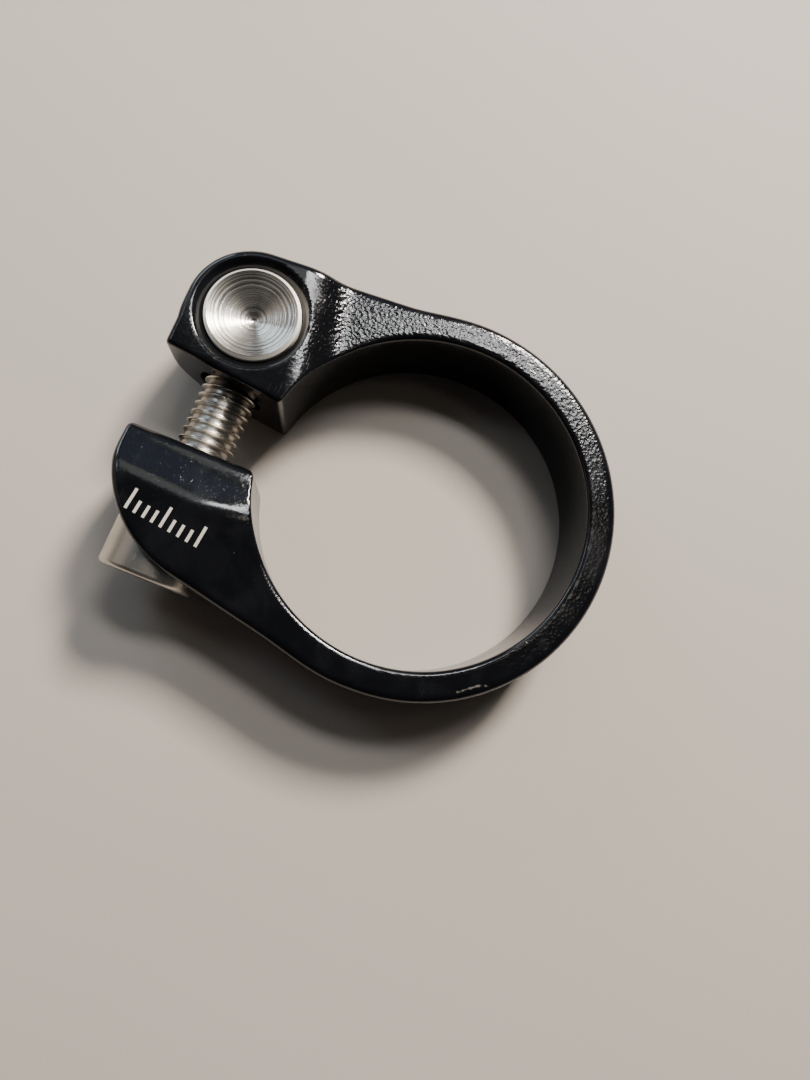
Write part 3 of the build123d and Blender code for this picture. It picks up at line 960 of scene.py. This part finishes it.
class CLAMP_OT_washer(bpy.types.Operator):
    """Build the washer under the bolt head"""
    bl_idname = "clamp.washer"
    bl_label = "Washer"

    STEPS = 72           # faces round the washer
    SHARP_DEGREES = 30
    STEEL_SHADE = 0.85

    def execute(self, context):
        settings = context.scene.clamp_bolt
        edge = settings.washer_edge
        low, high = WASHER_LOW[1], WASHER_HIGH[1]
        hole, rim = settings.washer_hole, WASHER_RADIUS
        profile = [(hole + edge, low), (rim - edge, low), (rim, low + edge), (rim, high - edge),
                   (rim - edge, high), (hole + edge, high), (hole, high - edge), (hole, low + edge)]
        centre = (BOLT_X, 0, BOLT_Z)
        rings = [ring_about(centre, (0, 1, 0), radius, y, self.STEPS) for radius, y in profile]
        mesh = loft("washer_disc", rings, closed=True)
        smooth(mesh, self.SHARP_DEGREES)
        ensure_groups()
        piece("washer_disc", mesh, "washer", "washer",
              make_bolt_steel(context.scene.clamp_finish, "plated_steel", self.STEEL_SHADE))
        return {"FINISHED"}


class CLAMP_OT_clamp_bolt(bpy.types.Operator):
    """Build the socket head bolt with its thread"""
    bl_idname = "clamp.clamp_bolt"
    bl_label = "Clamp bolt"

    AXIS = (0, 1, 0)
    AXIS_POINT = (BOLT_X, 0, BOLT_Z)
    STEPS = 48               # faces round the bolt
    ROWS_PER_PITCH = 24      # rows of faces in each turn of the thread
    EDGE_STEPS = 4           # rows of faces in the rounding at the head's end
    SOCKET_CONE = 0.6 * MM   # depth of the drill point below the socket
    LIP = 0.25 * MM          # chamfers of the socket and of the head's underside
    THREAD_GAP = 0.2 * MM    # from the head to the thread's first row
    CREST, FLANK = 0.12, 0.60  # share of half a pitch where the crest ends and where the root begins
    SHARP_DEGREES = 32
    STEEL_SHADE = 0.95

    def execute(self, context):
        settings = context.scene.clamp_bolt
        socket_floor = HEAD_END_Y + settings.socket_depth + self.SOCKET_CONE
        caps = (Vector((BOLT_X, socket_floor, BOLT_Z)), Vector((BOLT_X, TIP_Y, BOLT_Z)))
        mesh = loft("clamp_bolt_body", self.head_rings(settings) + self.thread_rings(settings), caps)
        smooth(mesh, self.SHARP_DEGREES)
        ensure_groups()
        piece("clamp_bolt_body", mesh, "clamp_bolt", "clamp_bolt",
              make_bolt_steel(context.scene.clamp_finish, "bolt_steel", self.STEEL_SHADE))
        return {"FINISHED"}

    def ring(self, radius, y, hexagon=False):
        """Ring of points about the bolt's axis."""
        return ring_about(self.AXIS_POINT, self.AXIS, radius, y, self.STEPS, hexagon)

    def head_rings(self, settings):
        """Rings from the bottom of the socket, over the head, to its underside."""
        flats = settings.socket_flats / 2
        edge = settings.head_edge
        rings = [self.ring(flats, HEAD_END_Y + settings.socket_depth, hexagon=True),
                 self.ring(flats, HEAD_END_Y + self.LIP, hexagon=True)]
        profile = [(flats * 2 / math.sqrt(3) + self.LIP, HEAD_END_Y)]
        for step in range(self.EDGE_STEPS + 1):
            angle = math.pi / 2 * step / self.EDGE_STEPS
            profile.append((HEAD_RADIUS - edge + edge * math.sin(angle),
                            HEAD_END_Y + edge - edge * math.cos(angle)))
        profile += [(HEAD_RADIUS, UNDER_HEAD_Y - self.LIP), (HEAD_RADIUS - self.LIP, UNDER_HEAD_Y),
                    (settings.root_radius + self.LIP, UNDER_HEAD_Y)]
        return rings + [self.ring(radius, y) for radius, y in profile]

    def thread_rings(self, settings):
        """Rings along the thread, whose crest winds once round in each pitch."""
        start = UNDER_HEAD_Y + self.THREAD_GAP
        rows = round((TIP_Y - start) / settings.pitch * self.ROWS_PER_PITCH)
        middle = (settings.thread_radius + settings.root_radius) / 2
        height = (settings.thread_radius - settings.root_radius) / 2
        turns = np.arange(self.STEPS) / self.STEPS
        rings = []
        for row in range(rows + 1):
            y = start + (TIP_Y - start) * row / rows
            off_crest = 2 * np.abs((y / settings.pitch - turns) % 1.0 - 0.5)
            profile = 2 * np.clip((self.FLANK - off_crest) / (self.FLANK - self.CREST), 0.0, 1.0) - 1
            run_out = min((y - start) / settings.pitch, 1.0)
            radius = middle - height * (1 - run_out) + height * run_out * profile
            radius = np.minimum(radius, settings.thread_radius - settings.tip_chamfer + TIP_Y - y)
            rings.append(self.ring(radius, y))
        return rings


class CLAMP_OT_stage(bpy.types.Operator):
    """Build the floor, the lights and the camera"""
    bl_idname = "clamp.stage"
    bl_label = "Stage"

    # Soft lights: name, azimuth and elevation in degrees, distance and two sides in metres, colour
    LIGHTS = (
        ("key", 77.0, 43.0, 0.45, (0.09, 0.09), (1.0, 0.94, 0.86)),
        ("top", 87.0, 62.0, 0.42, (0.16, 0.05), (0.98, 0.99, 1.0)),
        ("fill", 143.0, 22.0, 0.45, (0.22, 0.12), (0.72, 0.86, 1.0)),
        ("side", 183.0, 26.0, 0.45, (0.34, 0.24), (1.0, 0.86, 0.76)),
        ("panel", 124.0, 57.0, 0.42, (0.09, 0.09), (0.92, 1.0, 0.92)),
        ("dusk", 112.0, 40.0, 0.42, (0.16, 0.14), (0.50, 0.62, 1.0)),
        ("lamp", 50.0, 73.0, 0.42, (0.06, 0.06), (1.0, 0.92, 0.76)),
        ("window", 160.0, 48.0, 0.42, (0.08, 0.08), (0.66, 0.82, 1.0)),
    )
    FLOOR_REACH = 1.5  # metres from the clamp to the floor's edges

    # Room's light by direction: on the viewer's side, behind the clamp and overhead
    ROOM_NEAR = (0.03, 0.03, 0.032, 1.0)
    ROOM_FAR = (0.11, 0.115, 0.125, 1.0)
    ROOM_OVERHEAD = (0.02, 0.02, 0.022, 1.0)

    # Camera's place and its turn in degrees
    CAMERA_PLACE = (-3.77 * MM, -19.16 * MM, 83.24 * MM)
    CAMERA_TURN = (8.848, -6.291, 21.538)
    NEAREST_SEEN = 1 * MM

    def execute(self, context):
        settings = context.scene.clamp_stage
        self.floor(settings)
        for name, azimuth, elevation, distance, sides, tone in self.LIGHTS:
            light = bpy.data.lights.new(name, "AREA")
            light.shape = "RECTANGLE"
            light.size, light.size_y = sides
            light.energy = getattr(settings, name)
            light.color = tone
            lamp = bpy.data.objects.new(name, light)
            around = math.radians(azimuth)
            up = math.radians(elevation)
            out = Vector((math.cos(around) * math.cos(up), math.sin(around) * math.cos(up),
                          math.sin(up)))
            lamp.location = out * distance
            lamp.rotation_euler = out.to_track_quat("Z", "Y").to_euler()
            context.scene.collection.objects.link(lamp)
        self.surroundings(context.scene)
        self.camera(context.scene, settings)
        return {"FINISHED"}

    def floor(self, settings):
        """Large plain floor under the clamp."""
        mesh = bpy.data.meshes.new("floor")
        signs = ((-1, -1), (1, -1), (1, 1), (-1, 1))
        corners = [(x * self.FLOOR_REACH, y * self.FLOOR_REACH, BOTTOM) for x, y in signs]
        mesh.from_pydata(corners, [], [(0, 1, 2, 3)])
        mesh.materials.append(make_floor_material(settings.floor))
        made = bpy.data.objects.new("floor", mesh)
        bpy.context.scene.collection.objects.link(made)

    def surroundings(self, scene):
        """Dim room, darker overhead and on the viewer's side."""
        world = bpy.data.worlds.new("studio")
        scene.world = world
        world.use_nodes = True
        tree = world.node_tree
        background = next(node for node in tree.nodes if node.type == "BACKGROUND")
        heading = put(tree, "ShaderNodeTexCoord").outputs["Generated"]
        part = put(tree, "ShaderNodeSeparateXYZ", {"Vector": heading}).outputs
        behind = ramp_node(tree, part["Y"], start=-0.5, end=0.3)
        above = ramp_node(tree, part["Z"], start=0.1, end=0.8)
        wall = mix_colour(tree, behind, self.ROOM_NEAR, self.ROOM_FAR)
        tree.links.new(mix_colour(tree, above, wall, self.ROOM_OVERHEAD), background.inputs["Color"])
        background.inputs["Strength"].default_value = 1.0

    def camera(self, scene, settings):
        """Camera at the photograph's angle."""
        data = bpy.data.cameras.new("camera")
        data.lens = settings.lens
        data.clip_start = self.NEAREST_SEEN
        made = bpy.data.objects.new("camera", data)
        made.location = self.CAMERA_PLACE
        made.rotation_euler = [math.radians(part) for part in self.CAMERA_TURN]
        scene.collection.objects.link(made)
        scene.camera = made


class CLAMP_PT_panel(bpy.types.Panel):
    """Sidebar panel of the clamp"""
    bl_idname = "CLAMP_PT_panel"
    bl_label = "Seatpost clamp"
    bl_space_type = "VIEW_3D"
    bl_region_type = "UI"
    bl_category = "Clamp"

    def draw(self, context):
        for operator in OPERATORS:
            self.layout.operator(operator.bl_idname)
        for name, group in SETTINGS.items():
            box = self.layout.box()
            for prop in group.__annotations__:
                box.prop(getattr(context.scene, name), prop)


SETTINGS = {
    "clamp_collar": CollarSettings,
    "clamp_nut": NutSettings,
    "clamp_bolt": BoltSettings,
    "clamp_finish": FinishSettings,
    "clamp_stage": StageSettings,
}
OPERATORS = (CLAMP_OT_collar, CLAMP_OT_barrel_nut, CLAMP_OT_washer, CLAMP_OT_clamp_bolt, CLAMP_OT_stage)


def register():
    """Registers the settings, the operators and the panel."""
    for name, group in SETTINGS.items():
        bpy.utils.register_class(group)
        setattr(bpy.types.Scene, name, bpy.props.PointerProperty(type=group))
    for operator in OPERATORS:
        bpy.utils.register_class(operator)
    bpy.utils.register_class(CLAMP_PT_panel)


def unregister():
    """Takes back what register added."""
    bpy.utils.unregister_class(CLAMP_PT_panel)
    for operator in reversed(OPERATORS):
        bpy.utils.unregister_class(operator)
    for name, group in SETTINGS.items():
        delattr(bpy.types.Scene, name)
        bpy.utils.unregister_class(group)


def main():
    register()
    bpy.ops.clamp.collar()
    bpy.ops.clamp.barrel_nut()
    bpy.ops.clamp.washer()
    bpy.ops.clamp.clamp_bolt()
    bpy.ops.clamp.stage()


if __name__ == "__main__":
    main()
